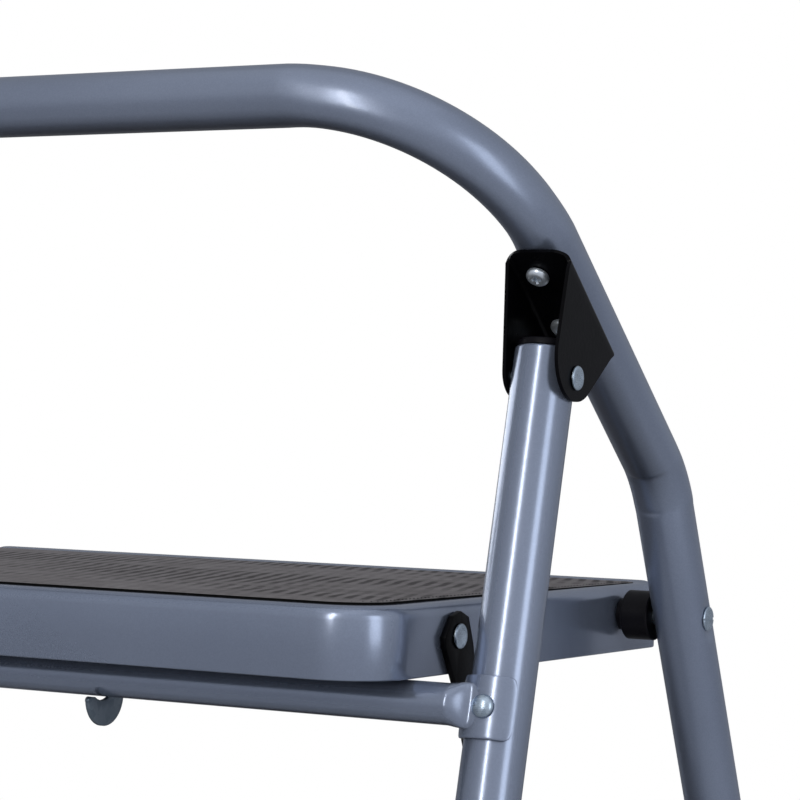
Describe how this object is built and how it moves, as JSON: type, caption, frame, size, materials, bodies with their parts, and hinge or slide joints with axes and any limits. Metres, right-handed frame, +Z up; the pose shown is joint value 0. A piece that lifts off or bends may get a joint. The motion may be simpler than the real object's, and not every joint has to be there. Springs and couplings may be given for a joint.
{
  "type": "folding platform ladder",
  "caption": "Folding steel platform ladder with flat ribbed treads, a tubular hoop handrail and hinged rear legs.",
  "frame": {"origin": "centre of the footprint on the floor, standing open", "axes": "+Z up, +X to the user's left when climbing, +Y towards the climber in front of the ladder"},
  "size_m": [0.4852, 0.6546, 0.8984],
  "materials": {
    "frame_paint": "silver blue-grey metallic powder coat, satin gloss",
    "black_paint": "black gloss powder coat",
    "mat_rubber": "fine ribbed grey-black anti-slip mat",
    "foot_rubber": "matte black moulded rubber",
    "black_plastic": "moulded black plastic",
    "zinc_steel": "bright zinc plated steel"
  },
  "bodies": {
    "front_frame": {"front_frame_tube": "frame_paint", "front_foot_right": "foot_rubber", "hinge_bracket_right": "black_paint", "bracket_screw_lower_right": "zinc_steel", "bracket_screw_upper_right": "zinc_steel", "hinge_rivet_right": "zinc_steel", "platform_bolt_right": "zinc_steel", "platform_spacer_right": "black_plastic", "middle_step_bolt_right": "zinc_steel", "middle_step_spacer_right": "black_plastic", "lower_step_bolt_right": "zinc_steel", "lower_step_spacer_right": "black_plastic", "front_foot_left": "foot_rubber", "hinge_bracket_left": "black_paint", "bracket_screw_lower_left": "zinc_steel", "bracket_screw_upper_left": "zinc_steel", "hinge_rivet_left": "zinc_steel", "platform_bolt_left": "zinc_steel", "platform_spacer_left": "black_plastic", "middle_step_bolt_left": "zinc_steel", "middle_step_spacer_left": "black_plastic", "lower_step_bolt_left": "zinc_steel", "lower_step_spacer_left": "black_plastic"},
    "rear_frame": {"upper_cross_tube": "frame_paint", "lower_cross_tube": "frame_paint", "rear_leg_right": "frame_paint", "rear_leg_plug_right": "black_plastic", "rear_foot_right": "foot_rubber", "upper_cross_rivet_right": "zinc_steel", "lower_cross_rivet_right": "zinc_steel", "rear_leg_left": "frame_paint", "rear_leg_plug_left": "black_plastic", "rear_foot_left": "foot_rubber", "upper_cross_rivet_left": "zinc_steel", "lower_cross_rivet_left": "zinc_steel"},
    "platform": {"platform_pan": "frame_paint", "platform_mat": "mat_rubber", "platform_stiffener": "frame_paint", "platform_link_rivet_right": "zinc_steel", "hook_guide_right": "frame_paint", "platform_link_rivet_left": "zinc_steel", "hook_guide_left": "frame_paint"},
    "middle_step": {"middle_step_pan": "frame_paint", "middle_step_mat": "mat_rubber", "middle_step_link_rivet_right": "zinc_steel", "middle_step_link_rivet_left": "zinc_steel"},
    "lower_step": {"lower_step_pan": "frame_paint", "lower_step_mat": "mat_rubber", "lower_step_link_rivet_right": "zinc_steel", "lower_step_link_rivet_left": "zinc_steel"},
    "link_bars": {"link_bar_right": "black_paint", "link_bar_left": "black_paint"},
    "fold_hooks": {"fold_hook_right": "zinc_steel", "hook_rivet_right": "zinc_steel", "fold_hook_left": "zinc_steel", "hook_rivet_left": "zinc_steel"}
  },
  "joints": [
    {"name": "platform_fold", "type": "hinge", "parent": "front_frame", "child": "platform", "pos_m": [0, 0.01542, 0.6784], "axis": [-1, 0, 0], "range_deg": [0, 58]},
    {"name": "rear_frame_fold", "type": "hinge", "parent": "front_frame", "child": "rear_frame", "pos_m": [0, -0.13013, 0.779], "axis": [1, 0, 0], "range_deg": [0, 34]},
    {"name": "middle_step_fold", "type": "hinge", "parent": "front_frame", "child": "middle_step", "pos_m": [0, 0.11524, 0.4484], "axis": [-1, 0, 0], "range_deg": [0, 58]},
    {"name": "lower_step_fold", "type": "hinge", "parent": "front_frame", "child": "lower_step", "pos_m": [0, 0.21506, 0.2184], "axis": [-1, 0, 0], "range_deg": [0, 58]},
    {"name": "link_bar_swing", "type": "hinge", "parent": "platform", "child": "link_bars", "pos_m": [0, -0.14428, 0.6767], "axis": [-1, 0, 0], "range_deg": [-58, 0]},
    {"name": "hook_swing", "type": "hinge", "parent": "rear_frame", "child": "fold_hooks", "pos_m": [0, -0.17265, 0.65282], "axis": [1, 0, 0], "range_deg": [0, 8]}
  ],
  "couplings": [
    {"joint": "rear_frame_fold", "follows": "platform_fold", "ratio": 0.58},
    {"joint": "middle_step_fold", "follows": "platform_fold", "ratio": 1},
    {"joint": "lower_step_fold", "follows": "platform_fold", "ratio": 1},
    {"joint": "link_bar_swing", "follows": "platform_fold", "ratio": -1},
    {"joint": "hook_swing", "follows": "platform_fold", "ratio": 0.12}
  ]
}
